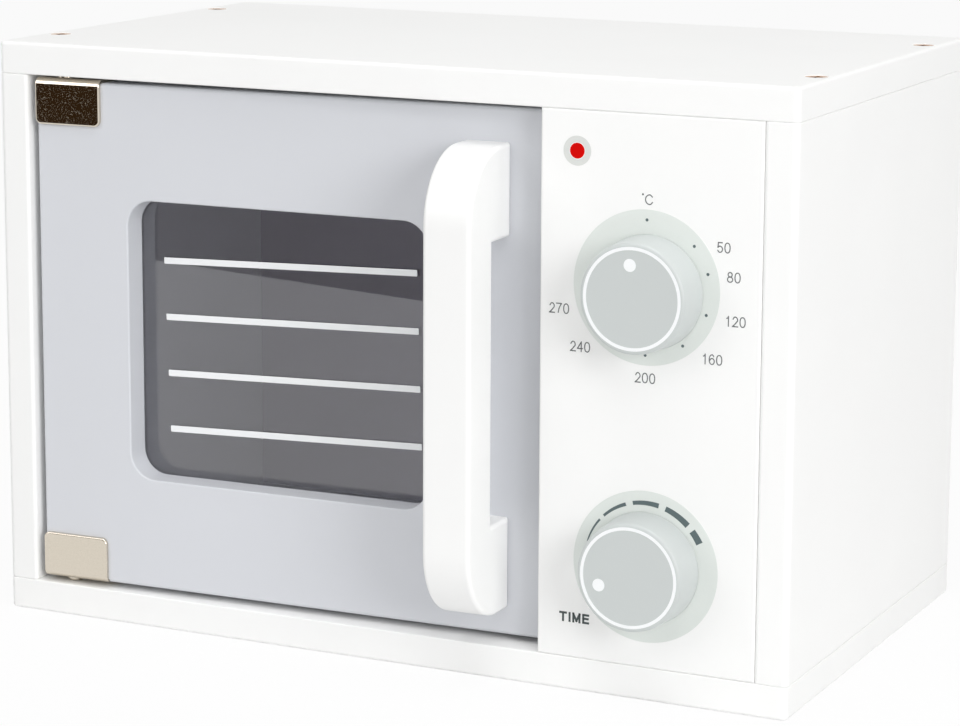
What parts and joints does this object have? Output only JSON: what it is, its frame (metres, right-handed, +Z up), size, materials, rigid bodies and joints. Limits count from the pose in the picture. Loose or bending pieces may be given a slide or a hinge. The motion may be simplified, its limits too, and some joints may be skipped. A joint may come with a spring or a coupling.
{
  "type": "toy oven",
  "caption": "Table-top toy oven: a box of white painted boards with a grey door on hinge clips, a tinted window, a long handle, and a control panel with turning knobs.",
  "frame": {"origin": "centre of the cabinet's underside", "axes": "+Z up; +X to the right as seen from the front; the front, with door and knobs, looks towards -Y"},
  "size_m": [0.29, 0.1919, 0.2],
  "materials": {
    "white_board": "white satin paint on fibreboard",
    "grey_board": "pale grey satin paint on fibreboard",
    "white_handle": "white satin paint on fibreboard",
    "grey_knob": "grey satin lacquer on turned wood",
    "tinted_acrylic": "smoke-tinted clear sheet",
    "nickel_plate": "bright nickel plating on steel",
    "brassed_steel": "brassed steel",
    "zinc_steel": "zinc plating on steel",
    "beech": "bare beech",
    "nylon": "moulded white nylon",
    "ferrite": "sintered ferrite"
  },
  "bodies": {
    "cabinet": {"bottom_board": "white_board", "top_board": "white_board", "left_side_board": "white_board", "right_side_board": "white_board", "back_panel": "white_board", "divider_board": "white_board", "control_panel": "white_board", "dowels": "beech", "bottom_board_screws": "brassed_steel", "top_board_screws": "brassed_steel", "hinge_bushes": "nylon", "catch_housing": "nylon", "catch_magnet": "ferrite", "catch_pole_plates": "zinc_steel", "catch_screws": "zinc_steel"},
    "door": {"door_board": "grey_board", "window_pane": "tinted_acrylic", "pane_screws": "zinc_steel", "door_handle": "white_handle", "handle_screws": "zinc_steel", "top_hinge_clip": "nickel_plate", "bottom_hinge_clip": "nickel_plate", "hinge_pins": "nickel_plate", "clip_screws": "zinc_steel", "strike_plate": "zinc_steel", "strike_screws": "zinc_steel"},
    "temperature_knob": {"temperature_knob": "grey_knob", "temperature_knob_screw": "zinc_steel", "temperature_knob_washer": "zinc_steel"},
    "time_knob": {"time_knob": "grey_knob", "time_knob_screw": "zinc_steel", "time_knob_washer": "zinc_steel"}
  },
  "joints": [
    {"name": "door_hinge", "type": "hinge", "parent": "cabinet", "child": "door", "pos_m": [-0.12256, -0.0762, 0.1], "axis": [0, 0, -1], "range_deg": [0, 110]},
    {"name": "temperature_knob_turn", "type": "hinge", "parent": "cabinet", "child": "temperature_knob", "pos_m": [0.0965, -0.0835, 0.133], "axis": [0, -1, 0], "continuous": true},
    {"name": "time_knob_turn", "type": "hinge", "parent": "cabinet", "child": "time_knob", "pos_m": [0.0965, -0.0835, 0.044], "axis": [0, -1, 0], "continuous": true}
  ]
}
